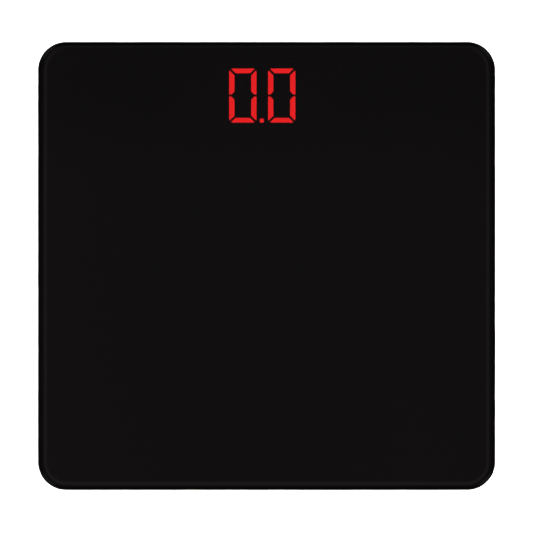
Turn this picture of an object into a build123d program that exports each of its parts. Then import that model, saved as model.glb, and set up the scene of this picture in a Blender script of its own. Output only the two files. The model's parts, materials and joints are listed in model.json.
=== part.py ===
from build123d import *
import os

# Digital bathroom scale: a glass platform on four load-cell feet, with an electronics and battery
# housing bonded under the display.
# Millimetres. The origin is on the floor under the middle of the platform, +Z is up and +Y points
# from the user's heels towards the display.

# ---- Driving dimensions ----

# Glass platform
platform_width = 300.0
platform_depth = 294.0
platform_top = 25.0
glass_thickness = 6.0
corner_radius = 18.4
rim_width = 6.5
rim_height = 3.6
rim_overcut = 1.0
glass_lower_edge = 0.8

# Layers under the glass
print_thickness = 0.2
print_inset = 0.8
tape_thickness = 0.8
tape_inset = 1.0

# Seven-segment digits
digit_pitch = 25.55
lit_digit_x = -15.6
digit_y = 111.85
digit_width = 17.9
digit_height = 35.5
upright_stroke = 3.45
level_stroke = 3.1
segment_gap = 1.45
waist_gap = 1.3
waist_flat = 1.4
segment_round = 0.35
narrow_digit_x = -57.0
dot_width = 2.5
dot_height = 2.6
dot_round = 0.4
dot_shift = -0.3
indicator_x = 33.0
indicator_spacing = 13.0
indicator_radius = 1.3

# LED module
module_left = -62.8
module_right = 46.0
module_depth = 40.0
module_top = 18.4
well_floor = 12.8
pin_radius = 0.4
pin_pitch = 8.0
pins_per_row = 13
pin_row_inset = 1.4
pin_tail = 1.0
module_clearance = 0.5

# Display window
window_margin = 2.5
window_radius = 2.0

# Electronics housing
housing_width = 156.0
housing_front = 40.0
housing_rear = 138.0
housing_radius = 8.0
housing_wall = 2.0
housing_roof = 1.6
cover_bottom = 4.0
cover_thickness = 1.8
cover_edge_round = 0.8
opening_round = 0.5

# Circuit board
board_width = 139.0
board_front = 86.5
board_rear = 135.5
board_bottom = 10.0
board_thickness = 1.6
board_boss_radius = 2.5
board_screw_radius = 0.9
board_boss_x = 66.3
board_boss_ys = (89.4, 132.6)
board_corner = 1.0
board_screw_reach = 4.0
board_screw_head_radius = 1.62
board_screw_head_height = 1.0

# Cover screws
screw_x = 73.0
screw_ys = (46.0, 89.0, 132.0)
screw_boss_radius = 3.2
screw_radius = 1.2
screw_length = 8.0
screw_head_radius = 2.4
screw_head_height = 1.3
screw_head_depth = 1.5
screw_pad_height = 1.2
screw_pad_shift = 0.3
screw_clearance = 0.1
screw_head_clearance = 0.2
recess_length = 3.0
recess_width = 0.5
recess_depth = 0.8

# Batteries, size AAA
cell_radius = 5.25
cell_length = 44.5
nub_radius = 1.9
nub_height = 0.8
cell_edge_round = 0.5
cell_pitch = 11.0
middle_cell_y = 66.6
bay_length = 50.5
bay_front = 47.2
bay_rear = 84.2
bay_wall = 1.6
cell_roof_gap = 0.3
contact_thickness = 0.4
contact_size = 8.6
contact_tab_width = 2.0
contact_tab_reach = 3.2
contact_tab_z = 15.0
spring_wire_radius = 0.35
spring_base_radius = 3.6
spring_turns = 3.5
spring_cone_angle = -14.0

# Battery door
door_width = 54.0
door_rear = 86.0
door_thickness = 1.4
door_gap = 0.3
hinge_y = 49.1
hinge_z = 5.6
hinge_barrel_radius = 1.6
hinge_pin_radius = 0.8
hinge_pin_length = 2.3
hinge_bore_clearance = 0.05
hinge_block_width = 3.0
hinge_block_reach = 2.2
hinge_block_top = 7.6
latch_width = 14.0
latch_slot = 0.9
latch_length = 9.0
latch_rib_pitch = 2.0
latch_rib_width = 0.8
latch_rib_length = 10.0
latch_rib_depth = 0.4
arrow_width = 9.0
arrow_length = 7.0
arrow_y = 66.0
arrow_depth = 0.4

# Unit button and its switch
button_x = 56.0
button_y = 108.0
button_radius = 4.8
button_gap = 0.2
button_proud = 0.4
button_dish_radius = 3.4
button_dish_depth = 0.25
button_edge_round = 0.3
button_flange_radius = 6.4
button_flange_height = 0.9
button_rest_gap = 0.1
switch_size = 6.2
switch_height = 2.5
plunger_radius = 1.5
plunger_height = 1.6
plunger_bore_clearance = 0.1
switch_roof = 0.7
switch_corner = 0.6

# Components on the board
chip_radius = 5.5
chip_height = 1.6
chip_dome_round = 1.28
chip_place = (54.5, 124.0)
crystal_size = (10.4, 4.2, 3.4)
crystal_place = (54.5, 113.0)
capacitor_radius = 2.5
capacitor_height = 4.4
capacitor_places = ((50.5, 96.0), (58.5, 96.0))
component_round = 0.4
connector_length = 8.0
connector_depth = 4.6
connector_height = 4.6
front_connector_inset = 0.2
side_connector_inset = 0.3

# Leads
lead_radius = 0.9
lead_z = 14.5
lead_x = 52.0
lead_bend = 20.0
lead_hole_clearance = 0.3
battery_lead_radius = 0.5
battery_lead_x = 36.0
battery_lead_end_y = 89.2
battery_lead_bend = 4.0
battery_lead_drop_bend = 3.0

# Cable ducts
duct_width = 6.0
duct_channel = 3.0
duct_bottom = 12.8
duct_roof = 1.6
duct_clip_length = 5.0
duct_clip_height = 0.6
duct_clip_ys = (-60.0, -10.0, 25.0)
duct_end_gap = 0.5

# Load-cell feet
foot_x = 112.0
foot_y = 109.0
foot_radius = 30.0
foot_wall = 2.0
foot_roof = 1.8
foot_edge_round = 1.2
foot_wall_bottom = 5.6
foot_lip_width = 1.2
foot_lip_height = 1.0
lead_hole_overrun = 2.0
seat_outer = 36.4
seat_inner = 27.0
load_cell_size = 34.0
load_cell_thickness = 3.0
load_cell_bottom = 9.5
load_cell_corner = 3.0
tongue_width = 12.0
tongue_slot = 2.4
tongue_tip_inset = 6.0
clip_width = 6.0
clip_arm = 1.4
clip_gap = 0.2
clip_nose = 1.0
clip_nose_height = 0.7
seal_size = (8.0, 7.0, 3.0)
seal_round = 0.8
cup_gap = 0.4
cup_flange_bottom = 6.8
cup_flange_height = 1.0
cup_flange_gap = 0.5
cup_bottom = 1.6
cup_edge_round = 0.6
stem_radius = 5.0
pad_radius = 24.6
pad_height = 3.2
pad_edge_round = 0.8
pad_groove_radii = (19.0, 14.0, 9.0)
pad_groove_width = 2.0
pad_groove_depth = 0.6

# ---- Heights and places that follow ----

glass_bottom = platform_top - glass_thickness
print_bottom = glass_bottom - print_thickness
housing_top = print_bottom - tape_thickness
cover_top = cover_bottom + cover_thickness
roof_bottom = housing_top - housing_roof
housing_y = (housing_front + housing_rear) / 2
housing_depth = housing_rear - housing_front
board_top = board_bottom + board_thickness
board_y = (board_front + board_rear) / 2
board_depth = board_rear - board_front
module_x = (module_left + module_right) / 2
module_width = module_right - module_left
window_width = module_width + 2 * window_margin
window_depth = module_depth + 2 * window_margin
cell_z = roof_bottom - cell_roof_gap - cell_radius
cell_ys = (middle_cell_y - cell_pitch, middle_cell_y, middle_cell_y + cell_pitch)
bay_end = bay_length / 2
bay_y = (bay_front + bay_rear) / 2
bay_depth = bay_rear - bay_front
contact_face = bay_end - contact_thickness
door_opening_front = hinge_y - hinge_barrel_radius - door_gap
door_opening_rear = door_rear + door_gap
door_opening_y = (door_opening_front + door_opening_rear) / 2
door_opening_width = door_width + 2 * door_gap
load_cell_top = load_cell_bottom + load_cell_thickness
foot_roof_bottom = housing_top - foot_roof
seal_face_x = seal_size[0] / 2
board_connector_y = board_front + connector_depth / 2 + front_connector_inset
side_connector_x = board_width / 2 - connector_depth / 2 - side_connector_inset
corners = {
    "front_left": (-1, -1),
    "front_right": (1, -1),
    "rear_left": (-1, 1),
    "rear_right": (1, 1),
}
sides = {"left": -1, "right": 1}

os.makedirs("parts", exist_ok=True)


def save(piece, name):
    piece.part.label = name
    export_step(piece.part, f"parts/{name}.step")


def foot_plane(corner, height=0.0):
    """A level plane on the foot's axis, its x pointing from the foot towards the scale's centre line."""
    side_x, side_y = corners[corner]
    origin = (side_x * foot_x, side_y * foot_y, height)
    return Plane(origin=origin, x_dir=(-side_x, 0, 0), z_dir=(0, 0, 1))


def digit_bars(names):
    """The named bars, a to g, of a seven-segment digit about its own centre."""
    half_width = digit_width / 2
    half_height = digit_height / 2
    mitre = segment_gap / 2 * 2**0.5
    waist_rise = upright_stroke - waist_flat
    upright = [
        (half_width, half_height - mitre),
        (half_width - upright_stroke, half_height - mitre - upright_stroke),
        (half_width - upright_stroke, waist_gap / 2 + waist_rise),
        (half_width - waist_flat, waist_gap / 2),
        (half_width, waist_gap / 2),
    ]
    level = [
        (half_width - mitre, half_height),
        (mitre - half_width, half_height),
        (mitre + level_stroke - half_width, half_height - level_stroke),
        (half_width - mitre - level_stroke, half_height - level_stroke),
    ]
    tip = half_width - waist_flat - mitre * 2 + waist_gap / 2
    shoulder = tip - level_stroke / 2
    middle = [
        (tip, 0),
        (shoulder, level_stroke / 2),
        (-shoulder, level_stroke / 2),
        (-tip, 0),
        (-shoulder, -level_stroke / 2),
        (shoulder, -level_stroke / 2),
    ]
    outlines = {
        "a": level,
        "b": upright,
        "c": [(x, -y) for x, y in upright],
        "d": [(x, -y) for x, y in level],
        "e": [(-x, -y) for x, y in upright],
        "f": [(-x, y) for x, y in upright],
        "g": middle,
    }
    with BuildSketch() as bars:
        for name in names:
            Polygon(*outlines[name])
        fillet(bars.vertices(), segment_round)
    return bars.sketch


def lit_segments():
    """The bars and the point that show 0.0."""
    with BuildSketch() as shape:
        for place in range(2):
            with Locations((lit_digit_x + place * digit_pitch, digit_y)):
                add(digit_bars("abcdef"))
        point_x = lit_digit_x + digit_pitch / 2 + dot_shift
        with Locations((point_x, digit_y - digit_height / 2 + dot_height / 2)):
            RectangleRounded(dot_width, dot_height, dot_round)
    return shape.sketch


def unlit_segments():
    """The rest of the module's bars, points and round indicators."""
    with BuildSketch() as shape:
        for place in range(2):
            with Locations((lit_digit_x + place * digit_pitch, digit_y)):
                add(digit_bars("g"))
        with Locations((lit_digit_x - digit_pitch, digit_y)):
            add(digit_bars("abcdefg"))
        with Locations((narrow_digit_x - digit_width / 2 + upright_stroke / 2, digit_y)):
            add(digit_bars("bc"))
        point_x = lit_digit_x - digit_pitch / 2 + dot_shift
        with Locations((point_x, digit_y - digit_height / 2 + dot_height / 2)):
            RectangleRounded(dot_width, dot_height, dot_round)
        with Locations((indicator_x, digit_y)):
            with GridLocations(0, indicator_spacing, 1, 3):
                Circle(indicator_radius)
    return shape.sketch


# ---- Platform ----

with BuildPart() as glass_platform:
    with BuildSketch(Plane.XY.offset(glass_bottom)):
        RectangleRounded(platform_width, platform_depth, corner_radius)
    extrude(amount=glass_thickness)
    rim_path = glass_platform.faces().sort_by(Axis.Z)[-1].outer_wire()
    chamfer(glass_platform.edges().group_by(Axis.Z)[0], glass_lower_edge)
    # The rolled rim: everything outside a quarter ellipse is taken away along the whole outline
    start = rim_path @ 0
    along = rim_path % 0
    outward = Vector(along.Y, -along.X, 0)
    if outward.dot(Vector(start.X, start.Y, 0)) < 0:
        outward = -outward
    with BuildSketch(Plane(origin=start, x_dir=outward, z_dir=outward.cross(Vector(0, 0, 1)))):
        with BuildLine():
            EllipticalCenterArc((-rim_width, -rim_height), rim_width, rim_height, arc_size=90)
            Polyline(
                (-rim_width, 0),
                (-rim_width, rim_overcut),
                (rim_overcut, rim_overcut),
                (rim_overcut, -rim_height),
                (0, -rim_height),
            )
        make_face()
    sweep(path=rim_path, mode=Mode.SUBTRACT)
save(glass_platform, "glass_platform")

with BuildPart() as printed_mask:
    with BuildSketch(Plane.XY.offset(print_bottom)):
        RectangleRounded(
            platform_width - 2 * print_inset,
            platform_depth - 2 * print_inset,
            corner_radius - print_inset,
        )
        with Locations((module_x, digit_y)):
            RectangleRounded(window_width, window_depth, window_radius, mode=Mode.SUBTRACT)
    extrude(amount=print_thickness)
save(printed_mask, "printed_mask")

with BuildPart() as display_filter:
    with BuildSketch(Plane.XY.offset(print_bottom)):
        with Locations((module_x, digit_y)):
            RectangleRounded(window_width, window_depth, window_radius)
    extrude(amount=print_thickness)
save(display_filter, "display_filter")

# ---- Electronics housing ----

with BuildPart() as housing_tape:
    with BuildSketch(Plane.XY.offset(housing_top)):
        with Locations((0, housing_y)):
            RectangleRounded(
                housing_width - 2 * tape_inset,
                housing_depth - 2 * tape_inset,
                housing_radius - tape_inset,
            )
        with Locations((module_x, digit_y)):
            RectangleRounded(window_width, window_depth, window_radius, mode=Mode.SUBTRACT)
    extrude(amount=tape_thickness)
save(housing_tape, "housing_tape")

with BuildPart() as electronics_housing:
    with BuildSketch(Plane.XY.offset(cover_top)):
        with Locations((0, housing_y)):
            RectangleRounded(housing_width, housing_depth, housing_radius)
    extrude(amount=housing_top - cover_top)
    with BuildSketch(Plane.XY.offset(cover_top)):
        with Locations((0, housing_y)):
            RectangleRounded(
                housing_width - 2 * housing_wall,
                housing_depth - 2 * housing_wall,
                housing_radius - housing_wall,
            )
    extrude(amount=roof_bottom - cover_top, mode=Mode.SUBTRACT)
    # Display opening in the roof
    with BuildSketch(Plane.XY.offset(roof_bottom)):
        with Locations((module_x, digit_y)):
            Rectangle(module_width + 2 * module_clearance, module_depth + 2 * module_clearance)
    extrude(amount=housing_roof, mode=Mode.SUBTRACT)
    # Battery bay walls
    with BuildSketch(Plane.XY.offset(cover_top)):
        with Locations((0, bay_y)):
            Rectangle(bay_length + 2 * bay_wall, bay_depth + 2 * bay_wall)
            Rectangle(bay_length, bay_depth, mode=Mode.SUBTRACT)
    extrude(amount=roof_bottom - cover_top)
    # Clearance in the bay's end walls for the door's rolled edge
    with BuildSketch(Plane.XY.offset(cover_top)):
        with Locations((0, hinge_y)):
            Rectangle(door_opening_width, 2 * (hinge_barrel_radius + door_gap))
    extrude(amount=hinge_block_top - cover_top + door_gap, mode=Mode.SUBTRACT)
    # Slots for the contact tabs
    for side, cell_y in ((-1, cell_ys[0]), (1, cell_ys[2])):
        with BuildSketch(Plane.XY.offset(contact_tab_z - contact_thickness / 2)):
            with Locations((side * (bay_end + bay_wall / 2), cell_y)):
                Rectangle(bay_wall, contact_tab_width)
        extrude(amount=contact_thickness, mode=Mode.SUBTRACT)
    # Screw bosses for the cover
    with BuildSketch(Plane.XY.offset(cover_top + screw_pad_height)):
        for screw_y in screw_ys:
            with Locations((-screw_x, screw_y), (screw_x, screw_y)):
                Circle(screw_boss_radius)
    extrude(amount=roof_bottom - cover_top - screw_pad_height)
    with BuildSketch(Plane.XY.offset(cover_top + screw_pad_height)):
        for screw_y in screw_ys:
            with Locations((-screw_x, screw_y), (screw_x, screw_y)):
                Circle(screw_radius)
    extrude(amount=screw_length, mode=Mode.SUBTRACT)
    # Bosses that the circuit board is screwed to
    with BuildSketch(Plane.XY.offset(board_top)):
        for boss_y in board_boss_ys:
            with Locations((-board_boss_x, boss_y), (board_boss_x, boss_y)):
                Circle(board_boss_radius)
                Circle(board_screw_radius, mode=Mode.SUBTRACT)
    extrude(amount=roof_bottom - board_top)
    # Holes for the cell leads: two in the front wall, one in each side wall
    with BuildSketch(Plane.XZ.offset(-housing_front)):
        with Locations((-lead_x, lead_z), (lead_x, lead_z)):
            Circle(lead_radius + lead_hole_clearance)
    extrude(amount=-housing_wall, mode=Mode.SUBTRACT)
    for side in sides.values():
        with BuildSketch(Plane.YZ.offset(side * (housing_width / 2 - housing_wall))):
            with Locations((foot_y, lead_z)):
                Circle(lead_radius + lead_hole_clearance)
        extrude(amount=side * housing_wall, mode=Mode.SUBTRACT)
    fillet(electronics_housing.edges().group_by(Axis.Z)[-1].filter_by(GeomType.CIRCLE), opening_round)
save(electronics_housing, "electronics_housing")

with BuildPart() as housing_cover:
    with BuildSketch(Plane.XY.offset(cover_bottom)):
        with Locations((0, housing_y)):
            RectangleRounded(housing_width, housing_depth, housing_radius)
    extrude(amount=cover_thickness)
    fillet(housing_cover.edges().group_by(Axis.Z)[0], cover_edge_round)
    with BuildSketch(Plane.XY.offset(cover_bottom)):
        with Locations((0, door_opening_y)):
            Rectangle(door_opening_width, door_opening_rear - door_opening_front)
    extrude(amount=cover_thickness, mode=Mode.SUBTRACT)
    # Raised pads that the screws clamp against the bosses
    screw_pad_x = screw_x - screw_pad_shift
    with BuildSketch(Plane.XY.offset(cover_top)):
        for screw_y in screw_ys:
            with Locations((-screw_pad_x, screw_y), (screw_pad_x, screw_y)):
                Circle(screw_head_radius)
    extrude(amount=screw_pad_height)
    with Locations(Plane.XY.offset(cover_bottom).rotated((180, 0, 0))):
        for screw_y in screw_ys:
            with Locations((-screw_x, -screw_y), (screw_x, -screw_y)):
                CounterBoreHole(
                    radius=screw_radius + screw_clearance,
                    counter_bore_radius=screw_head_radius + screw_head_clearance,
                    counter_bore_depth=screw_head_depth,
                )
    # Bearing blocks at the ends of the hinge
    hinge_block_x = (door_opening_width + hinge_block_width) / 2
    with BuildSketch(Plane.XY.offset(cover_top)):
        with Locations((-hinge_block_x, hinge_y), (hinge_block_x, hinge_y)):
            Rectangle(hinge_block_width, 2 * hinge_block_reach)
    extrude(amount=hinge_block_top - cover_top)
    for side in sides.values():
        with BuildSketch(Plane.YZ.offset(side * door_opening_width / 2)):
            with Locations((hinge_y, hinge_z)):
                Circle(hinge_pin_radius + hinge_bore_clearance)
        extrude(amount=side * (hinge_pin_length + door_gap), mode=Mode.SUBTRACT)
    # Hole for the unit button
    with BuildSketch(Plane.XY.offset(cover_bottom)):
        with Locations((button_x, button_y)):
            Circle(button_radius + button_gap)
    extrude(amount=cover_thickness, mode=Mode.SUBTRACT)
save(housing_cover, "housing_cover")

with BuildPart() as cover_screws:
    with BuildSketch(Plane.XY.offset(cover_bottom + screw_head_depth)):
        for screw_y in screw_ys:
            with Locations((-screw_x, screw_y), (screw_x, screw_y)):
                Circle(screw_radius)
    extrude(amount=screw_length)
    with BuildSketch(Plane.XY.offset(cover_bottom + screw_head_depth)):
        for screw_y in screw_ys:
            with Locations((-screw_x, screw_y), (screw_x, screw_y)):
                Circle(screw_head_radius)
    extrude(amount=-screw_head_height)
    # Cross recess
    with BuildSketch(Plane.XY.offset(cover_bottom + screw_head_depth - screw_head_height)):
        for screw_y in screw_ys:
            with Locations((-screw_x, screw_y), (screw_x, screw_y)):
                Rectangle(recess_length, recess_width)
                Rectangle(recess_width, recess_length)
    extrude(amount=recess_depth, mode=Mode.SUBTRACT)
save(cover_screws, "cover_screws")

# ---- Circuit board and display ----

with BuildPart() as main_pcb:
    with BuildSketch(Plane.XY.offset(board_bottom)):
        with Locations((0, board_y)):
            RectangleRounded(board_width, board_depth, board_corner)
        with Locations((module_x, digit_y)):
            with GridLocations(pin_pitch, module_depth - 2 * pin_row_inset, pins_per_row, 2):
                Circle(pin_radius, mode=Mode.SUBTRACT)
        for boss_y in board_boss_ys:
            with Locations((-board_boss_x, boss_y), (board_boss_x, boss_y)):
                Circle(board_screw_radius, mode=Mode.SUBTRACT)
    extrude(amount=board_thickness)
save(main_pcb, "main_pcb")

with BuildPart() as pcb_screws:
    with BuildSketch(Plane.XY.offset(board_bottom)):
        for boss_y in board_boss_ys:
            with Locations((-board_boss_x, boss_y), (board_boss_x, boss_y)):
                Circle(board_screw_radius)
    extrude(amount=board_thickness + board_screw_reach)
    with BuildSketch(Plane.XY.offset(board_bottom)):
        for boss_y in board_boss_ys:
            with Locations((-board_boss_x, boss_y), (board_boss_x, boss_y)):
                Circle(board_screw_head_radius)
    extrude(amount=-board_screw_head_height)
save(pcb_screws, "pcb_screws")

with BuildPart() as display_reflector:
    with BuildSketch(Plane.XY.offset(board_top)):
        with Locations((module_x, digit_y)):
            Rectangle(module_width, module_depth)
    extrude(amount=module_top - board_top)
    with BuildSketch(Plane.XY.offset(well_floor)):
        add(lit_segments())
        add(unlit_segments())
    extrude(amount=module_top - well_floor, mode=Mode.SUBTRACT)
save(display_reflector, "display_reflector")

with BuildPart() as display_segments_lit:
    with BuildSketch(Plane.XY.offset(well_floor)):
        add(lit_segments())
    extrude(amount=module_top - well_floor)
save(display_segments_lit, "display_segments_lit")

with BuildPart() as display_segments_unlit:
    with BuildSketch(Plane.XY.offset(well_floor)):
        add(unlit_segments())
    extrude(amount=module_top - well_floor)
save(display_segments_unlit, "display_segments_unlit")

with BuildPart() as display_pins:
    with BuildSketch(Plane.XY.offset(board_bottom - pin_tail)):
        with Locations((module_x, digit_y)):
            with GridLocations(pin_pitch, module_depth - 2 * pin_row_inset, pins_per_row, 2):
                Circle(pin_radius)
    extrude(amount=pin_tail + board_thickness)
save(display_pins, "display_pins")

with BuildPart() as controller_chip:
    with BuildSketch(Plane.XY.offset(board_top)):
        with Locations(chip_place):
            Circle(chip_radius)
    extrude(amount=chip_height)
    fillet(controller_chip.edges().group_by(Axis.Z)[-1], chip_dome_round)
save(controller_chip, "controller_chip")

with BuildPart() as crystal:
    with BuildSketch(Plane.XY.offset(board_top)):
        with Locations(crystal_place):
            SlotOverall(crystal_size[0], crystal_size[1])
    extrude(amount=crystal_size[2])
    fillet(crystal.edges().group_by(Axis.Z)[-1], component_round)
save(crystal, "crystal")

with BuildPart() as capacitors:
    with BuildSketch(Plane.XY.offset(board_top)):
        with Locations(capacitor_places):
            Circle(capacitor_radius)
    extrude(amount=capacitor_height)
    fillet(capacitors.edges().group_by(Axis.Z)[-1], component_round)
save(capacitors, "capacitors")

with BuildPart() as lead_connectors:
    with BuildSketch(Plane.XY.offset(board_top)):
        with Locations((-lead_x, board_connector_y), (lead_x, board_connector_y)):
            Rectangle(connector_length, connector_depth)
        with Locations((-side_connector_x, foot_y), (side_connector_x, foot_y)):
            Rectangle(connector_depth, connector_length)
    extrude(amount=connector_height)
save(lead_connectors, "lead_connectors")

# ---- Unit button ----

with BuildPart() as unit_switch:
    with BuildSketch(Plane.XY.offset(board_bottom)):
        with Locations((button_x, button_y)):
            RectangleRounded(switch_size, switch_size, switch_corner)
    extrude(amount=-switch_height)
    with BuildSketch(Plane.XY.offset(board_bottom - switch_roof)):
        with Locations((button_x, button_y)):
            Circle(plunger_radius + plunger_bore_clearance)
    extrude(amount=switch_roof - switch_height, mode=Mode.SUBTRACT)
save(unit_switch, "unit_switch")

button_flange_bottom = cover_top + button_rest_gap
button_top = button_flange_bottom + button_flange_height

with BuildPart() as switch_plunger:
    with BuildSketch(Plane.XY.offset(button_top)):
        with Locations((button_x, button_y)):
            Circle(plunger_radius)
    extrude(amount=plunger_height)
save(switch_plunger, "switch_plunger")

with BuildPart() as unit_button:
    with BuildSketch(Plane.XY.offset(cover_bottom - button_proud)):
        with Locations((button_x, button_y)):
            Circle(button_radius)
    extrude(amount=button_top - cover_bottom + button_proud)
    fillet(unit_button.edges().group_by(Axis.Z)[0], button_edge_round)
    with BuildSketch(Plane.XY.offset(cover_bottom - button_proud)):
        with Locations((button_x, button_y)):
            Circle(button_dish_radius)
    extrude(amount=button_dish_depth, mode=Mode.SUBTRACT)
    with BuildSketch(Plane.XY.offset(button_flange_bottom)):
        with Locations((button_x, button_y)):
            Circle(button_flange_radius)
    extrude(amount=button_flange_height)
save(unit_button, "unit_button")

# ---- Batteries ----

# The cells lie side by side, each turned the other way round
for number, cell_y in enumerate(cell_ys):
    facing = 1 if number % 2 == 0 else -1
    can_start = facing * (contact_face - cell_length)
    can_length = cell_length - nub_height
    with BuildPart() as battery_cell:
        with BuildSketch(Plane.YZ.offset(can_start)):
            with Locations((cell_y, cell_z)):
                Circle(cell_radius)
        extrude(amount=facing * can_length)
        fillet(battery_cell.edges().filter_by(GeomType.CIRCLE), cell_edge_round)
        with BuildSketch(Plane.YZ.offset(can_start + facing * can_length)):
            with Locations((cell_y, cell_z)):
                Circle(nub_radius)
        extrude(amount=facing * nub_height)
    save(battery_cell, f"battery_cell_{number + 1}")

with BuildPart() as battery_plates:
    for side, single_y in ((-1, cell_ys[0]), (1, cell_ys[2])):
        double_y = middle_cell_y + (middle_cell_y - single_y) / 2
        with BuildSketch(Plane.YZ.offset(side * bay_end)):
            with Locations((single_y, cell_z)):
                Rectangle(contact_size, contact_size)
            with Locations((double_y, cell_z)):
                Rectangle(contact_size + cell_pitch, contact_size)
        extrude(amount=-side * contact_thickness)
        # Solder tab, through the bay wall
        tab_top = contact_tab_z + contact_thickness / 2
        with BuildSketch(Plane.YZ.offset(side * bay_end)):
            with Locations((single_y, (cell_z + tab_top) / 2)):
                Rectangle(contact_tab_width, tab_top - cell_z)
        extrude(amount=-side * contact_thickness)
        with BuildSketch(Plane.YZ.offset(side * bay_end)):
            with Locations((single_y, contact_tab_z)):
                Rectangle(contact_tab_width, contact_thickness)
        extrude(amount=side * contact_tab_reach)
save(battery_plates, "battery_plates")

# A conical coil that stands on its wide turn, axis along +X
spring_length = 2 * contact_face - cell_length
spring_height = spring_length - 2 * spring_wire_radius
with BuildPart() as one_spring:
    with BuildLine() as coil:
        Helix(
            spring_height / spring_turns,
            spring_height,
            spring_base_radius,
            center=(spring_wire_radius, 0, 0),
            direction=(1, 0, 0),
            cone_angle=spring_cone_angle,
        )
    with BuildSketch(Plane(origin=coil.line @ 0, z_dir=coil.line % 0)):
        Circle(spring_wire_radius)
    sweep(path=coil.line, is_frenet=True)

with BuildPart() as battery_springs:
    for number, cell_y in enumerate(cell_ys):
        facing = 1 if number % 2 == 0 else -1
        turn = 0 if facing > 0 else 180
        with Locations(Location((-facing * contact_face, cell_y, cell_z), (0, 0, turn))):
            add(one_spring.part)
save(battery_springs, "battery_springs")

with BuildPart() as battery_leads:
    for side, single_y in ((-1, cell_ys[0]), (1, cell_ys[2])):
        tab_end = bay_end + contact_tab_reach
        with BuildLine() as route:
            FilletPolyline(
                (side * tab_end, single_y, contact_tab_z),
                (side * battery_lead_x, single_y, contact_tab_z),
                (side * battery_lead_x, battery_lead_end_y, contact_tab_z),
                (side * battery_lead_x, battery_lead_end_y, board_top),
                radius=[battery_lead_bend, battery_lead_drop_bend],
            )
        with BuildSketch(Plane(origin=route.line @ 0, z_dir=route.line % 0)):
            Circle(battery_lead_radius)
        sweep(path=route.line)
save(battery_leads, "battery_leads")

with BuildPart() as battery_door:
    with BuildSketch(Plane.YZ.offset(-door_width / 2)):
        with BuildLine():
            Polyline(
                (hinge_y, cover_bottom),
                (door_rear, cover_bottom),
                (door_rear, cover_bottom + door_thickness),
                (hinge_y, cover_bottom + door_thickness),
                close=True,
            )
        make_face()
        with Locations((hinge_y, hinge_z)):
            Circle(hinge_barrel_radius)
    extrude(amount=door_width)
    # Snap tongue at the free edge, freed by two slots
    tongue_y = door_rear - latch_length / 2
    with BuildSketch(Plane.XY.offset(cover_bottom)):
        for side in sides.values():
            with Locations((side * (latch_width + latch_slot) / 2, tongue_y)):
                Rectangle(latch_slot, latch_length)
    extrude(amount=door_thickness, mode=Mode.SUBTRACT)
    # Finger ribs on the tongue
    with BuildSketch(Plane.XY.offset(cover_bottom)):
        with Locations((0, tongue_y)):
            with GridLocations(0, latch_rib_pitch, 1, 3):
                Rectangle(latch_rib_length, latch_rib_width)
    extrude(amount=latch_rib_depth, mode=Mode.SUBTRACT)
    # Sunk arrow that points at the tongue
    with BuildSketch(Plane.XY.offset(cover_bottom)):
        with Locations((0, arrow_y)):
            Polygon(
                (-arrow_width / 2, -arrow_length / 2),
                (arrow_width / 2, -arrow_length / 2),
                (0, arrow_length / 2),
                align=None,
            )
    extrude(amount=arrow_depth, mode=Mode.SUBTRACT)
    # Hinge pins
    for side in sides.values():
        with BuildSketch(Plane.YZ.offset(side * door_width / 2)):
            with Locations((hinge_y, hinge_z)):
                Circle(hinge_pin_radius)
        extrude(amount=side * hinge_pin_length)
save(battery_door, "battery_door")

# ---- Load-cell feet ----

wall_inner_radius = foot_radius - foot_wall
cup_radius = wall_inner_radius - foot_lip_width - cup_gap
clip_x = load_cell_size / 2 + clip_gap

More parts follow.
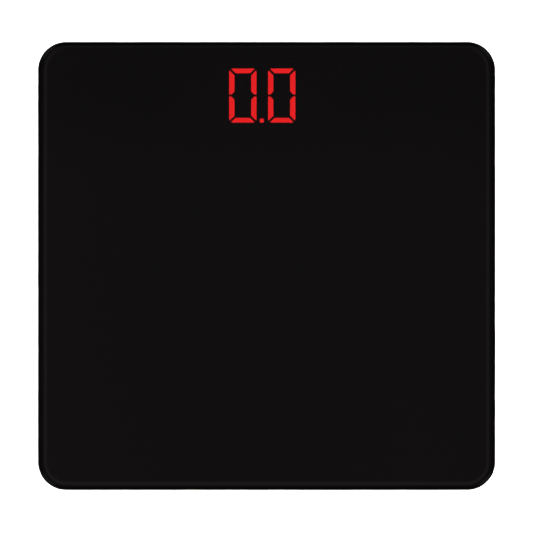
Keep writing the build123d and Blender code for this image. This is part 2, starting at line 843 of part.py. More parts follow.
for corner in corners:
    with BuildPart() as bond_pad:
        with BuildSketch(foot_plane(corner, housing_top)):
            Circle(foot_radius - tape_inset)
        extrude(amount=tape_thickness)
    save(bond_pad, f"bond_pad_{corner}")

    with BuildPart() as foot_housing:
        with BuildSketch(foot_plane(corner, foot_wall_bottom)):
            Circle(foot_radius)
        extrude(amount=housing_top - foot_wall_bottom)
        fillet(foot_housing.edges().group_by(Axis.Z)[-1], foot_edge_round)
        with BuildSketch(foot_plane(corner, foot_wall_bottom)):
            Circle(wall_inner_radius - foot_lip_width)
        extrude(amount=foot_lip_height, mode=Mode.SUBTRACT)
        with BuildSketch(foot_plane(corner, foot_wall_bottom + foot_lip_height)):
            Circle(wall_inner_radius)
        extrude(amount=foot_roof_bottom - foot_wall_bottom - foot_lip_height, mode=Mode.SUBTRACT)
        # Square seat that bears on the rim of the load cell
        with BuildSketch(foot_plane(corner, load_cell_top)):
            RectangleRounded(seat_outer, seat_outer, load_cell_corner)
            Rectangle(seat_inner, seat_inner, mode=Mode.SUBTRACT)
        extrude(amount=foot_roof_bottom - load_cell_top)
        # Two clips that keep the load cell from falling out
        clip_bottom = load_cell_bottom - clip_nose_height
        with BuildSketch(foot_plane(corner, clip_bottom)):
            with Locations((0, clip_x + clip_arm / 2), (0, -clip_x - clip_arm / 2)):
                Rectangle(clip_width, clip_arm)
        extrude(amount=foot_roof_bottom - clip_bottom)
        with BuildSketch(foot_plane(corner, clip_bottom)):
            nose_y = clip_x - clip_nose / 2
            with Locations((0, nose_y), (0, -nose_y)):
                Rectangle(clip_width, clip_nose)
        extrude(amount=clip_nose_height)
        # Passage for the lead, from the seat out through the wall
        with BuildSketch(foot_plane(corner, lead_z - lead_radius - lead_hole_clearance)):
            with Locations(((foot_radius + lead_hole_overrun) / 2, 0)):
                Rectangle(foot_radius + lead_hole_overrun, 2 * (lead_radius + lead_hole_clearance))
        extrude(amount=2 * (lead_radius + lead_hole_clearance), mode=Mode.SUBTRACT)
    save(foot_housing, f"foot_housing_{corner}")

    with BuildPart() as load_cell:
        with BuildSketch(foot_plane(corner, load_cell_bottom)):
            RectangleRounded(load_cell_size, load_cell_size, load_cell_corner)
            # The slot runs round three sides of the tongue and leaves it joined at its root
            opening = load_cell_size - 2 * tongue_tip_inset
            Rectangle(tongue_width + 2 * tongue_slot, opening, mode=Mode.SUBTRACT)
            with Locations((0, tongue_slot)):
                Rectangle(tongue_width, opening)
        extrude(amount=load_cell_thickness)
    save(load_cell, f"load_cell_{corner}")

    with BuildPart() as gauge_seal:
        with BuildSketch(foot_plane(corner, load_cell_top)):
            RectangleRounded(seal_size[0], seal_size[1], seal_round)
        extrude(amount=seal_size[2])
        fillet(gauge_seal.edges().group_by(Axis.Z)[-1], seal_round / 2)
    save(gauge_seal, f"gauge_seal_{corner}")

    with BuildPart() as foot_cup:
        with BuildSketch(foot_plane(corner, cup_bottom)):
            Circle(cup_radius)
        extrude(amount=cup_flange_bottom - cup_bottom)
        fillet(foot_cup.edges().group_by(Axis.Z)[0], cup_edge_round)
        with BuildSketch(foot_plane(corner, cup_flange_bottom)):
            Circle(wall_inner_radius - cup_flange_gap)
        extrude(amount=cup_flange_height)
        with BuildSketch(foot_plane(corner, cup_flange_bottom + cup_flange_height)):
            Circle(stem_radius)
        extrude(amount=load_cell_bottom - cup_flange_bottom - cup_flange_height)
        with BuildSketch(foot_plane(corner, cup_bottom)):
            Circle(pad_radius)
        extrude(amount=pad_height - cup_bottom, mode=Mode.SUBTRACT)
    save(foot_cup, f"foot_cup_{corner}")

    with BuildPart() as foot_pad:
        with BuildSketch(foot_plane(corner)):
            Circle(pad_radius)
        extrude(amount=pad_height)
        fillet(foot_pad.edges().group_by(Axis.Z)[0], pad_edge_round)
        with BuildSketch(foot_plane(corner)):
            for groove_radius in pad_groove_radii:
                Circle(groove_radius + pad_groove_width / 2)
                Circle(groove_radius - pad_groove_width / 2, mode=Mode.SUBTRACT)
        extrude(amount=pad_groove_depth, mode=Mode.SUBTRACT)
    save(foot_pad, f"foot_pad_{corner}")

# ---- Leads from the load cells ----

for corner, (side_x, side_y) in corners.items():
    seal_x = side_x * (foot_x - seal_face_x)
    with BuildPart() as cell_leads:
        with BuildLine() as route:
            if side_y < 0:
                FilletPolyline(
                    (seal_x, -foot_y, lead_z),
                    (side_x * lead_x, -foot_y, lead_z),
                    (side_x * lead_x, board_connector_y - connector_depth / 2, lead_z),
                    radius=lead_bend,
                )
            else:
                connector_face = side_connector_x + connector_depth / 2
                Line((seal_x, foot_y, lead_z), (side_x * connector_face, foot_y, lead_z))
        with BuildSketch(Plane(origin=route.line @ 0, z_dir=route.line % 0)):
            Circle(lead_radius)
        sweep(path=route.line)
    save(cell_leads, f"cell_leads_{corner}")

for side_name, side in sides.items():
    with BuildPart() as cable_duct:
        start_x = side * (foot_x - foot_radius - duct_end_gap)
        with BuildLine() as route:
            FilletPolyline(
                (start_x, -foot_y, 0),
                (side * lead_x, -foot_y, 0),
                (side * lead_x, housing_front - duct_end_gap, 0),
                radius=lead_bend,
            )
        with BuildSketch(Plane(origin=(start_x, -foot_y, 0), x_dir=(0, -side, 0), z_dir=(-side, 0, 0))):
            with Locations((0, (duct_bottom + print_bottom) / 2)):
                Rectangle(duct_width, print_bottom - duct_bottom)
            with Locations((0, (duct_bottom + print_bottom - duct_roof) / 2)):
                channel_height = print_bottom - duct_roof - duct_bottom
                Rectangle(duct_channel, channel_height, mode=Mode.SUBTRACT)
        sweep(path=route.line)
        # Clips that cross the open side and hold the lead in
        with BuildSketch(Plane.XY.offset(duct_bottom)):
            for clip_y in duct_clip_ys:
                with Locations((side * lead_x, clip_y)):
                    Rectangle(duct_channel, duct_clip_length)
        extrude(amount=duct_clip_height)
    save(cable_duct, f"cable_duct_front_{side_name}")
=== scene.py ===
import json
import math

import bmesh
import bpy
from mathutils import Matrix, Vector


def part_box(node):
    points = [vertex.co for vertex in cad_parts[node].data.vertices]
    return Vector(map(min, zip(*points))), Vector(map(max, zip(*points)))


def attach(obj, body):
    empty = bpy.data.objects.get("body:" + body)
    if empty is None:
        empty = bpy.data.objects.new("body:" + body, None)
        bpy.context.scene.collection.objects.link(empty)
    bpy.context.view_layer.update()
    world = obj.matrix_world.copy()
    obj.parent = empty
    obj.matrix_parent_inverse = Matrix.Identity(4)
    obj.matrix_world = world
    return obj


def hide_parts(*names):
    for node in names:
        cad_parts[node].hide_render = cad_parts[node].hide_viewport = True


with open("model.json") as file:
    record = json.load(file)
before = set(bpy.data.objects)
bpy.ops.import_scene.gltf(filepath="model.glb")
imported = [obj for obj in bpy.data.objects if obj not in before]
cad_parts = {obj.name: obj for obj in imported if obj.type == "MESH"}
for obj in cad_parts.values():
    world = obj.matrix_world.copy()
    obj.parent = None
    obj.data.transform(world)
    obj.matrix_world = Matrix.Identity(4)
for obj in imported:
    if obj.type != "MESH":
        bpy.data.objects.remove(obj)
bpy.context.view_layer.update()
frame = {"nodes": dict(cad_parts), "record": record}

# ---- Sizes in metres ----

RIM_WIDTH = 0.0065
RIM_HEIGHT = 0.0036
CORNER_RADIUS = 0.0184
LOWER_EDGE = 0.0008
WINDOW_RADIUS = 0.002
INK_LIFT = 0.00003
RIM_STEPS = 22
LOWER_STEPS = 6
CORNER_STEPS = 28

# ---- Camera: millimetres for the lens and sensor, metres for the rest ----

LENS = 200.0
SENSOR = 36.0
FRAME_WIDTH = 0.3497
CENTRE_SHIFT_X = -0.00007
CENTRE_SHIFT_Y = -0.00036
CLIP_NEAR = 0.1
CLIP_FAR = 20.0

# ---- Floor and softboxes: metres and watts ----

PAPER = (0.9, 0.9, 0.9)
PAPER_ROUGHNESS = 0.9
FLOOR_HALF_SIZE = 6.0
FLOOR_FADE_START = 1.2
FLOOR_FADE_END = 2.6
TOP_LIGHT_HEIGHT = 2.6
TOP_LIGHT_SIZE = 1.4
TOP_LIGHT_POWER = 150.0
SIDE_LIGHT_HEIGHT = 1.6
SIDE_LIGHT_DISTANCE = 1.9
SIDE_LIGHT_WIDTH = 1.6
SIDE_LIGHT_DEPTH = 1.2
SIDE_LIGHT_POWER = 55.0
UNDER_LIGHT_HEIGHT = -1.6
UNDER_LIGHT_SIZE = 1.6
UNDER_LIGHT_POWER = 40.0

# ---- The room that the glass mirrors ----

# Half-angles of the ceiling ring in degrees, then radiances

RING_SIDE = 19.0
RING_FRONT = 29.0
RING_BACK = 43.0
RING_STRENGTH = 0.125
ROOM_STRENGTH = 0.124
PANEL_STRENGTH = 0.5
RING_BACK_SHARE = 0.56
ROOM_TINT = (1.0, 0.87, 0.93)
FADE_BEHIND = 0.84
FADE_RIGHT = 0.88
LOWEST_ROOM = 0.12
SHELF_RATE = 27.0
SHELF_DARK = 0.12
# From where to where each of them fades: over the ring's reach, the tangent of the tilt from the zenith,
# or the sine of the height
RING_INNER_EDGE = (0.1, 0.8)
RING_OUTER_EDGE = (1.1, 1.9)
RING_FRONT_TO_BACK = (-0.3, 0.6)
BEHIND_EDGE = (0.025, 0.065)
RIGHT_EDGE = (0.045, 0.085)
PANEL_SIDE_EDGE = (0.72, 0.96)
PANEL_LOWER_EDGE = (0.06, 0.2)
PANEL_UPPER_EDGE = (0.35, 0.75)
SHELF_EDGE = (-0.35, 0.35)

# ---- Colours and surfaces that several materials share ----

GLASS_IOR = 1.52
INK = (0.0026, 0.0022, 0.0024)
INK_DARK = (0.0023, 0.0019, 0.0021)
INK_PALE = (0.0030, 0.0026, 0.0028)
INK_SPECULAR = 0.1
FILM_ALPHA = 0.5
SEGMENT_GLOW = (1.0, 0.0152, 0.0172)
SEGMENT_GLOW_STRENGTH = 6.4
SLEEVE_COLOUR = (0.42, 0.43, 0.44)
SLEEVE_BAND = (0.02, 0.045, 0.11)
SLEEVE_WORN = (0.5, 0.5, 0.5)
CELL_STEEL = (0.60, 0.60, 0.60)

# Places along a battery cell from its middle, in metres
BAND_START = 0.0128
BAND_FULL = 0.0130
POSITIVE_STEEL = (0.0234, 0.0235)
NEGATIVE_STEEL = (-0.0190, -0.0189)


# ---- Node helpers ----

class Shader:
    """A material's node tree, with short calls to add and join nodes."""

    def __init__(self, name, colour, roughness, metallic=0.0):
        self.material = bpy.data.materials.new(name)
        self.material.use_nodes = True
        self.nodes = self.material.node_tree.nodes
        self.links = self.material.node_tree.links
        self.surface = self.nodes["Principled BSDF"]
        self.surface.inputs["Base Color"].default_value = (*colour, 1.0)
        self.surface.inputs["Roughness"].default_value = roughness
        self.surface.inputs["Metallic"].default_value = metallic
        self.place = self.nodes.new("ShaderNodeTexCoord").outputs["Object"]

    def join(self, source, target):
        self.links.new(source, target)

    def stretched(self, scale):
        """The object's own coordinates, scaled unevenly."""
        mapping = self.nodes.new("ShaderNodeMapping")
        mapping.inputs["Scale"].default_value = scale
        self.join(self.place, mapping.inputs["Vector"])
        return mapping.outputs["Vector"]

    def noise(self, size, detail=4.0, rough=0.55, place=None):
        """Soft noise whose features are about size metres across."""
        node = self.nodes.new("ShaderNodeTexNoise")
        node.inputs["Scale"].default_value = 1.0 / size
        node.inputs["Detail"].default_value = detail
        node.inputs["Roughness"].default_value = rough
        self.join(place or self.place, node.inputs["Vector"])
        return node.outputs["Fac"]

    def cells(self, size):
        """Voronoi distance with cells about size metres across."""
        node = self.nodes.new("ShaderNodeTexVoronoi")
        node.inputs["Scale"].default_value = 1.0 / size
        self.join(self.place, node.inputs["Vector"])
        return node.outputs["Distance"]

    def remap(self, source, low, high, to_low, to_high):
        node = self.nodes.new("ShaderNodeMapRange")
        node.inputs["From Min"].default_value = low
        node.inputs["From Max"].default_value = high
        node.inputs["To Min"].default_value = to_low
        node.inputs["To Max"].default_value = to_high
        self.join(source, node.inputs["Value"])
        return node.outputs["Result"]

    def math(self, operation, first, second):
        node = self.nodes.new("ShaderNodeMath")
        node.operation = operation
        for socket, value in zip(node.inputs, (first, second)):
            if isinstance(value, (int, float)):
                socket.default_value = value
            else:
                self.join(value, socket)
        return node.outputs["Value"]

    def mix(self, factor, first, second):
        node = self.nodes.new("ShaderNodeMix")
        node.data_type = "RGBA"
        self.join(factor, node.inputs["Factor"])
        for socket, value in zip((node.inputs["A"], node.inputs["B"]), (first, second)):
            if isinstance(value, tuple):
                socket.default_value = (*value, 1.0)
            else:
                self.join(value, socket)
        return node.outputs["Result"]

    def colour(self, source):
        self.join(source, self.surface.inputs["Base Color"])

    def roughness(self, source):
        self.join(source, self.surface.inputs["Roughness"])

    def bump(self, height, distance, strength=1.0):
        node = self.nodes.new("ShaderNodeBump")
        node.inputs["Strength"].default_value = strength
        node.inputs["Distance"].default_value = distance
        self.join(height, node.inputs["Height"])
        self.join(node.outputs["Normal"], self.surface.inputs["Normal"])


def tinted(colour, factor):
    return tuple(min(1.0, c * factor) for c in colour)


# ---- Materials ----

def backed_glass():
    """Polished float glass over black enamel: only its front surface reflects."""
    made = Shader("platform_glass", colour=(0.0001, 0.0001, 0.0001), roughness=0.0)
    made.surface.inputs["IOR"].default_value = GLASS_IOR
    smears = made.noise(size=0.05, detail=6.0, rough=0.62)
    streaks = made.noise(size=0.012, detail=4.0, rough=0.6, place=made.stretched((0.5, 2.2, 1.0)))
    haze = made.math("MULTIPLY", made.remap(smears, 0.42, 0.78, 0.0, 1.0), streaks)
    made.roughness(made.remap(haze, 0.0, 0.6, 0.004, 0.05))
    return made.material


def window_glass():
    """The same glass in front of the display, with no enamel behind it."""
    made = Shader("window_glass", colour=(0.97, 0.985, 0.98), roughness=0.0)
    made.surface.inputs["Transmission Weight"].default_value = 1.0
    made.surface.inputs["IOR"].default_value = GLASS_IOR
    return made.material


def black_ink():
    """Screen-printed black enamel with a fine orange-peel texture."""
    made = Shader("black_print", INK, roughness=0.5)
    cloud = made.noise(size=0.09, detail=3.0, rough=0.5)
    made.colour(made.mix(cloud, INK_DARK, INK_PALE))
    made.surface.inputs["Specular IOR Level"].default_value = INK_SPECULAR
    made.bump(made.noise(size=0.0004, detail=2.0), distance=0.00001, strength=0.3)
    return made.material


def dead_front_film():
    """Black film that hides the display until its segments light up."""
    made = Shader("dead_front_film", INK, roughness=0.4)
    made.colour(made.mix(made.noise(size=0.02, detail=3.0, rough=0.5), INK_DARK, INK_PALE))
    made.surface.inputs["Alpha"].default_value = FILM_ALPHA
    made.surface.inputs["Specular IOR Level"].default_value = INK_SPECULAR
    return made.material


def moulded_plastic(name, colour, roughness=0.5, grain=0.00035, depth=0.00003):
    """Spark-eroded moulded plastic: fine grain, cloudy gloss and pale scuffs from handling."""
    made = Shader(name, colour, roughness)
    cloud = made.noise(size=0.012, detail=5.0, rough=0.6)
    base = made.mix(cloud, tinted(colour, 0.86), tinted(colour, 1.14))
    streaked = made.noise(size=0.005, detail=8.0, rough=0.75, place=made.stretched((1.0, 0.25, 1.0)))
    scuffs = made.remap(streaked, 0.66, 0.78, 0.0, 0.6)
    made.colour(made.mix(scuffs, base, tuple(1.3 * c + 0.012 for c in colour)))
    fine = made.noise(size=grain, detail=2.0, rough=0.6)
    made.roughness(made.remap(cloud, 0.3, 0.7, roughness - 0.06, roughness + 0.08))
    made.bump(made.math("ADD", fine, made.cells(grain * 1.6)), depth, strength=0.5)
    return made.material


def soft_rubber(name, colour):
    """Matt rubber with a dusty bloom and a fine moulded skin."""
    made = Shader(name, colour, roughness=0.8)
    bloom = made.noise(size=0.006, detail=6.0, rough=0.65)
    dusty = tuple(c * 1.5 + 0.012 for c in colour)
    made.colour(made.mix(made.remap(bloom, 0.35, 0.7, 0.0, 1.0), colour, dusty))
    made.roughness(made.remap(bloom, 0.3, 0.7, 0.68, 0.9))
    made.bump(made.noise(size=0.0005, detail=3.0), distance=0.00004, strength=0.6)
    return made.material


def plain_metal(name, colour, roughness=0.3, grain=(1.0, 1.0, 1.0), streak=0.0008):
    """Metal with fine drawn or rolled streaks and a little tarnish."""
    made = Shader(name, colour, roughness, metallic=1.0)
    streaks = made.noise(size=streak, detail=4.0, rough=0.6, place=made.stretched(grain))
    base = made.mix(streaks, tinted(colour, 0.82), tinted(colour, 1.1))
    tarnish = made.remap(made.noise(size=0.004, detail=6.0, rough=0.7), 0.55, 0.75, 0.0, 0.5)
    made.colour(made.mix(tarnish, base, tinted(colour, 0.6)))
    made.roughness(made.remap(streaks, 0.3, 0.7, roughness - 0.07, roughness + 0.12))
    made.bump(streaks, distance=0.00001, strength=0.4)
    return made.material


def lit_red():
    """Red epoxy lit from below, even over the whole segment."""
    made = Shader("lit_segment", colour=(0.2, 0.004, 0.004), roughness=0.5)
    cloud = made.noise(size=0.002, detail=3.0)
    made.colour(made.mix(cloud, (0.18, 0.0035, 0.0035), (0.22, 0.0045, 0.0045)))
    made.roughness(made.remap(made.noise(size=0.001, detail=4.0), 0.3, 0.7, 0.4, 0.6))
    made.surface.inputs["Emission Color"].default_value = (*SEGMENT_GLOW, 1.0)
    made.surface.inputs["Emission Strength"].default_value = SEGMENT_GLOW_STRENGTH
    return made.material


def dark_epoxy():
    """Unlit segment: smoked epoxy, almost as dark as the reflector round it."""
    made = Shader("unlit_segment", colour=(0.0075, 0.006, 0.0065), roughness=0.5)
    cloud = made.noise(size=0.002, detail=3.0)
    made.colour(made.mix(cloud, (0.007, 0.0056, 0.006), (0.0085, 0.0068, 0.0072)))
    return made.material


def foam_tape():
    """Grey closed-cell foam with visible cells at its cut edges."""
    made = Shader("foam_tape", colour=(0.42, 0.42, 0.4), roughness=0.9)
    cells = made.cells(size=0.0005)
    made.colour(made.mix(made.remap(cells, 0.0, 0.6, 0.0, 1.0), (0.3, 0.3, 0.29), (0.5, 0.5, 0.48)))
    made.bump(cells, distance=0.0001, strength=0.7)
    return made.material


def circuit_board():
    """Green solder resist with faint copper tracks under it."""
    made = Shader("circuit_board", colour=(0.01, 0.09, 0.035), roughness=0.35)
    tracks = made.nodes.new("ShaderNodeTexBrick")
    tracks.inputs["Scale"].default_value = 90.0
    tracks.inputs["Mortar Size"].default_value = 0.012
    tracks.inputs["Color1"].default_value = (0.010, 0.085, 0.033, 1)
    tracks.inputs["Color2"].default_value = (0.012, 0.100, 0.040, 1)
    tracks.inputs["Mortar"].default_value = (0.05, 0.19, 0.07, 1)
    made.join(made.place, tracks.inputs["Vector"])
    made.colour(tracks.outputs["Color"])
    made.roughness(made.remap(made.noise(size=0.004), 0.3, 0.7, 0.28, 0.42))
    made.bump(tracks.outputs["Fac"], distance=0.00003, strength=0.5)
    return made.material


def cell_wrap(name, positive):
    """Printed battery sleeve with a dark band at the positive end, crimped over bright steel ends."""
    made = Shader(name, SLEEVE_COLOUR, roughness=0.3)
    split = made.nodes.new("ShaderNodeSeparateXYZ")
    made.join(made.place, split.inputs["Vector"])
    along = made.math("MULTIPLY", split.outputs["X"], positive)
    band = made.remap(along, BAND_START, BAND_FULL, 0.0, 1.0)
    worn = made.remap(made.noise(size=0.0025, detail=7.0, rough=0.7), 0.58, 0.75, 0.0, 0.35)
    printed = made.mix(band, SLEEVE_COLOUR, SLEEVE_BAND)
    sleeve = made.mix(worn, printed, SLEEVE_WORN)
    ends = made.math(
        "MAXIMUM",
        made.remap(along, *POSITIVE_STEEL, 0.0, 1.0),
        made.remap(along, *NEGATIVE_STEEL, 1.0, 0.0),
    )
    made.colour(made.mix(ends, sleeve, CELL_STEEL))
    made.roughness(made.remap(made.noise(size=0.003, detail=3.0), 0.3, 0.7, 0.22, 0.36))
    made.surface.inputs["Metallic"].default_value = 0.6
    return made.material


materials = {
    "platform_glass": backed_glass(),
    "black_print": black_ink(),
    "dead_front_film": dead_front_film(),
    "foam_tape": foam_tape(),
    "black_abs": moulded_plastic("black_abs", (0.018, 0.018, 0.019), 0.48),
    "grey_abs": moulded_plastic("grey_abs", (0.10, 0.10, 0.105), 0.5),
    "foot_rubber": soft_rubber("foot_rubber", (0.028, 0.028, 0.029)),
    "screw_steel": plain_metal("screw_steel", (0.56, 0.55, 0.53), 0.32),
    "circuit_board": circuit_board(),
    "reflector_plastic": moulded_plastic("reflector_plastic", (0.0068, 0.0054, 0.0060), 0.7),
    "lit_segment": lit_red(),
    "unlit_segment": dark_epoxy(),
    "tinned_wire": plain_metal("tinned_wire", (0.72, 0.71, 0.68), 0.3),
    "chip_epoxy": moulded_plastic("chip_epoxy", (0.008, 0.008, 0.009), 0.2),
    "bright_can": plain_metal("bright_can", (0.72, 0.72, 0.71), 0.25),
    "capacitor_sleeve": moulded_plastic("capacitor_sleeve", (0.015, 0.025, 0.10), 0.25),
    "connector_nylon": moulded_plastic("connector_nylon", (0.72, 0.70, 0.62), 0.45),
    "switch_body": moulded_plastic("switch_body", (0.02, 0.02, 0.02), 0.5),
    "button_plastic": moulded_plastic("button_plastic", (0.15, 0.15, 0.155), 0.42),
    "spring_contact": plain_metal("spring_contact", (0.74, 0.73, 0.70), 0.22),
    "lead_sheath": soft_rubber("lead_sheath", (0.22, 0.22, 0.215)),
    "cell_can": cell_wrap("cell_can", 1),
    "cell_steel": plain_metal("cell_steel", (0.60, 0.60, 0.60), 0.3, (1.0, 12.0, 1.0)),
    "white_silicone": soft_rubber("white_silicone", (0.72, 0.72, 0.70)),
}

slot_of = {part["node"]: part["material_slot"] for part in frame["record"]["subparts"]}
for node_name, node in frame["nodes"].items():
    node.data.materials.clear()
    node.data.materials.append(materials[slot_of[node_name]])

# The middle cell faces the other way
frame["nodes"]["battery_cell_2"].data.materials[0] = cell_wrap("cell_can_turned", -1)


# ---- Glass platform ----

def outline(half_x, half_y, radius):
    """Points round a rectangle with rounded corners, counter-clockwise from the right-hand side."""
    points = []
    for quarter, (side_x, side_y) in enumerate(((1, 1), (-1, 1), (-1, -1), (1, -1))):
        for step in range(CORNER_STEPS + 1):
            angle = math.radians(90 * (quarter + step / CORNER_STEPS))
            x = side_x * (half_x - radius) + radius * math.cos(angle)
            y = side_y * (half_y - radius) + radius * math.sin(angle)
            points.append((x, y))
    return points


ENAMEL, FILM, WINDOW = 1, 2, 3


def platform_glass():
    """The rim is a quarter ellipse from the side up to the flat top, and the lower edge a small round."""
    low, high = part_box("glass_platform")
    centre = (low + high) / 2
    half_x, half_y = (high.x - low.x) / 2, (high.y - low.y) / 2
    bottom = low.z + INK_LIFT
    profile = [(LOWER_EDGE, bottom)]
    for step in range(1, LOWER_STEPS + 1):
        angle = math.radians(90 * step / LOWER_STEPS)
        profile.append((LOWER_EDGE * (1 - math.sin(angle)), bottom + LOWER_EDGE * (1 - math.cos(angle))))
    for step in range(RIM_STEPS + 1):
        angle = math.radians(90 * step / RIM_STEPS)
        profile.append((RIM_WIDTH * (1 - math.cos(angle)), high.z - RIM_HEIGHT * (1 - math.sin(angle))))
    mesh = bmesh.new()
    rings = []
    for inset, height in profile:
        ring = [
            mesh.verts.new((centre.x + x, centre.y + y, height))
            for x, y in outline(half_x - inset, half_y - inset, CORNER_RADIUS - inset)
        ]
        rings.append(ring)
    for level, (lower, upper) in enumerate(zip(rings, rings[1:])):
        for i in range(len(lower)):
            j = (i + 1) % len(lower)
            side = mesh.faces.new((lower[i], lower[j], upper[j], upper[i]))
            # The enamel wraps round the lower edge
            side.material_index = ENAMEL if level < LOWER_STEPS else 0
    film_low, film_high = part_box("display_filter")
    film_centre = (film_low + film_high) / 2
    film_half_x, film_half_y = (film_high.x - film_low.x) / 2, (film_high.y - film_low.y) / 2
    for height, ring, around, inside in (
        (bottom, rings[0], ENAMEL, FILM),
        (high.z, rings[-1], 0, WINDOW),
    ):
        window = [
            mesh.verts.new((film_centre.x + x, film_centre.y + y, height))
            for x, y in outline(film_half_x, film_half_y, WINDOW_RADIUS)
        ]
        edges = [mesh.edges.new((window[i - 1], window[i])) for i in range(len(window))]
        edges += [mesh.edges.get((ring[i - 1], ring[i])) for i in range(len(ring))]
        filled = bmesh.ops.triangle_fill(mesh, use_beauty=True, edges=edges)["geom"]
        for face in filled:
            if isinstance(face, bmesh.types.BMFace):
                face.material_index = around
        mesh.faces.new(window).material_index = inside
    piece = finished(mesh, "platform_glass", "platform_glass")
    for under in (materials["black_print"], materials["dead_front_film"], window_glass()):
        piece.data.materials.append(under)
    return piece


def finished(mesh, name, slot):
    """Turns a bmesh into a smooth-shaded object with its slot's material."""
    bmesh.ops.recalc_face_normals(mesh, faces=mesh.faces)
    data = bpy.data.meshes.new(name)
    mesh.to_mesh(data)
    mesh.free()
    data.shade_smooth()
    data.materials.append(materials[slot])
    piece = bpy.data.objects.new(name, data)
    bpy.context.scene.collection.objects.link(piece)
    return piece


glass = platform_glass()
flatten = glass.modifiers.new("weighted", "WEIGHTED_NORMAL")
flatten.keep_sharp = True
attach(glass, "platform")
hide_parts("glass_platform")


# ---- Stage, light and camera ----

def floor():
    """A plain pale sheet that the scale stands on."""
    mesh = bmesh.new()
    bmesh.ops.create_grid(mesh, x_segments=1, y_segments=1, size=FLOOR_HALF_SIZE)
    data = bpy.data.meshes.new("floor")
    mesh.to_mesh(data)
    mesh.free()
    made = Shader("floor_paper", PAPER, PAPER_ROUGHNESS)
    made.surface.inputs["Specular IOR Level"].default_value = 0.0
    # From below the paper is clear, so that the underside can be looked at, and far out it fades away
    clear = made.nodes.new("ShaderNodeBsdfTransparent")
    either = made.nodes.new("ShaderNodeMixShader")
    distance = made.nodes.new("ShaderNodeVectorMath")
    distance.operation = "LENGTH"
    made.join(made.place, distance.inputs[0])
    far = made.remap(distance.outputs["Value"], FLOOR_FADE_START, FLOOR_FADE_END, 0.0, 1.0)
    below = made.nodes.new("ShaderNodeNewGeometry").outputs["Backfacing"]
    made.join(made.math("MAXIMUM", below, far), either.inputs["Fac"])
    made.join(made.surface.outputs["BSDF"], either.inputs[1])
    made.join(clear.outputs["BSDF"], either.inputs[2])
    made.join(either.outputs["Shader"], made.nodes["Material Output"].inputs["Surface"])
    data.materials.append(made.material)
    sheet = bpy.data.objects.new("floor", data)
    sheet.visible_glossy = False
    sheet.visible_shadow = False
    bpy.context.scene.collection.objects.link(sheet)


def area_light(name, place, size_x, size_y, power):
    """A softbox aimed at the origin, which lights the scene but isn't mirrored in the glass."""
    data = bpy.data.lights.new(name, "AREA")
    data.shape = "RECTANGLE"
    data.size, data.size_y = size_x, size_y
    data.energy = power
    light = bpy.data.objects.new(name, data)
    light.location = place
    light.rotation_mode = "QUATERNION"
    light.rotation_quaternion = (Vector() - Vector(place)).to_track_quat("-Z", "Y")
    light.visible_camera = False
    light.visible_glossy = False
    light.visible_transmission = False
    bpy.context.scene.collection.objects.link(light)


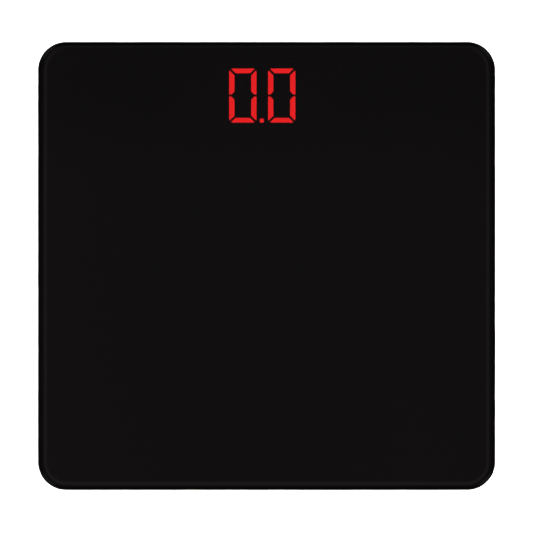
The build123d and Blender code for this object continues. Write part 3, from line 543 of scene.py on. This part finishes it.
def studio_world():
    """A dim room with a soft ring of brighter ceiling, which draws the line round the glass rim."""
    world = bpy.data.worlds.new("studio")
    world.use_nodes = True
    nodes, links = world.node_tree.nodes, world.node_tree.links
    background = nodes["Background"]

    def maths(operation, first, second=0.0):
        node = nodes.new("ShaderNodeMath")
        node.operation = operation
        for socket, value in zip(node.inputs, (first, second)):
            if isinstance(value, (int, float)):
                socket.default_value = value
            else:
                links.new(value, socket)
        return node.outputs["Value"]

    def step(value, low, high, to_low, to_high):
        node = nodes.new("ShaderNodeMapRange")
        node.interpolation_type = "SMOOTHSTEP"
        for name, number in zip(("From Min", "From Max", "To Min", "To Max"), (low, high, to_low, to_high)):
            node.inputs[name].default_value = number
        links.new(value, node.inputs["Value"])
        return node.outputs["Result"]

    direction = nodes.new("ShaderNodeTexCoord").outputs["Generated"]
    split = nodes.new("ShaderNodeSeparateXYZ")
    links.new(direction, split.inputs["Vector"])
    x, y, z = (split.outputs[axis] for axis in "XYZ")
    # A soft ring round the zenith: near it at the sides, farther in front and farthest and thinnest behind
    up = maths("MAXIMUM", z, 0.02)
    tilt_x, tilt_y = maths("DIVIDE", x, up), maths("DIVIDE", y, up)
    across = maths("DIVIDE", tilt_x, math.tan(math.radians(RING_SIDE)))
    ahead = maths("MAXIMUM", maths("DIVIDE", tilt_y, -math.tan(math.radians(RING_FRONT))), 0.0)
    behind = maths("MAXIMUM", maths("DIVIDE", tilt_y, math.tan(math.radians(RING_BACK))), 0.0)
    along = maths("ADD", ahead, maths("MULTIPLY", behind, behind))
    reach = maths("SQRT", maths("ADD", maths("MULTIPLY", across, across), maths("MULTIPLY", along, along)))
    inner_edge = step(reach, *RING_INNER_EDGE, 0.0, 1.0)
    band = maths("MULTIPLY", inner_edge, step(reach, *RING_OUTER_EDGE, 1.0, 0.0))
    strength = step(tilt_y, *RING_FRONT_TO_BACK, RING_STRENGTH, RING_BACK_SHARE * RING_STRENGTH)
    ring = maths("MULTIPLY", band, strength)
    # The rest of the room fades from the zenith down, and a little towards the back and the right
    fade_behind = step(tilt_y, *BEHIND_EDGE, 1.0, FADE_BEHIND)
    fade = maths("MULTIPLY", fade_behind, step(tilt_x, *RIGHT_EDGE, 1.0, FADE_RIGHT))
    room = maths("MULTIPLY", maths("MAXIMUM", z, LOWEST_ROOM), maths("MULTIPLY", fade, ROOM_STRENGTH))
    # Four tall soft panels in the corners of the room, low down, which the glass mirrors in slanting views
    corner = maths("MULTIPLY", maths("ABSOLUTE", maths("MULTIPLY", x, y)), 2.0)
    level = maths("MAXIMUM", maths("SUBTRACT", 1.0, maths("MULTIPLY", z, z)), 0.001)
    facing = step(maths("DIVIDE", corner, level), *PANEL_SIDE_EDGE, 0.0, 1.0)
    lower_edge = step(z, *PANEL_LOWER_EDGE, 0.0, 1.0)
    height = maths("MULTIPLY", lower_edge, step(z, *PANEL_UPPER_EDGE, 1.0, 0.0))
    shelves = step(maths("SINE", maths("MULTIPLY", z, SHELF_RATE)), *SHELF_EDGE, SHELF_DARK, 1.0)
    lit = maths("MULTIPLY", maths("MULTIPLY", facing, height), shelves)
    panels = maths("MULTIPLY", lit, PANEL_STRENGTH)
    links.new(maths("ADD", ring, room), background.inputs["Strength"])
    background.inputs["Color"].default_value = (*ROOM_TINT, 1.0)
    white = nodes.new("ShaderNodeBackground")
    links.new(panels, white.inputs["Strength"])
    both = nodes.new("ShaderNodeAddShader")
    links.new(background.outputs["Background"], both.inputs[0])
    links.new(white.outputs["Background"], both.inputs[1])
    # Behind everything the camera sees the same pale paper as the floor
    paper = nodes.new("ShaderNodeBackground")
    paper.inputs["Color"].default_value = (*PAPER, 1.0)
    seen = nodes.new("ShaderNodeMixShader")
    links.new(nodes.new("ShaderNodeLightPath").outputs["Is Camera Ray"], seen.inputs["Fac"])
    links.new(both.outputs["Shader"], seen.inputs[1])
    links.new(paper.outputs["Background"], seen.inputs[2])
    links.new(seen.outputs["Shader"], nodes["World Output"].inputs["Surface"])
    bpy.context.scene.world = world


def overhead_camera():
    """Straight down from far above, the frame's width measured at the outline of the glass."""
    low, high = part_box("glass_platform")
    widest = high.z - RIM_HEIGHT
    data = bpy.data.cameras.new("camera")
    data.lens = LENS
    data.sensor_width = SENSOR
    data.clip_start, data.clip_end = CLIP_NEAR, CLIP_FAR
    camera = bpy.data.objects.new("camera", data)
    camera.location = (CENTRE_SHIFT_X, CENTRE_SHIFT_Y, widest + FRAME_WIDTH * LENS / SENSOR)
    bpy.context.scene.collection.objects.link(camera)
    bpy.context.scene.camera = camera


floor()
area_light("top_softbox", (0.0, 0.0, TOP_LIGHT_HEIGHT), TOP_LIGHT_SIZE, TOP_LIGHT_SIZE, TOP_LIGHT_POWER)
for angle in range(0, 360, 90):
    turn = math.radians(angle)
    side_place = (
        SIDE_LIGHT_DISTANCE * math.cos(turn),
        SIDE_LIGHT_DISTANCE * math.sin(turn),
        SIDE_LIGHT_HEIGHT,
    )
    area_light(f"side_softbox_{angle}", side_place, SIDE_LIGHT_WIDTH, SIDE_LIGHT_DEPTH, SIDE_LIGHT_POWER)
under_place = (0.0, 0.0, UNDER_LIGHT_HEIGHT)
area_light("under_softbox", under_place, UNDER_LIGHT_SIZE, UNDER_LIGHT_SIZE, UNDER_LIGHT_POWER)
studio_world()
overhead_camera()
bpy.context.scene.view_settings.view_transform = "Standard"
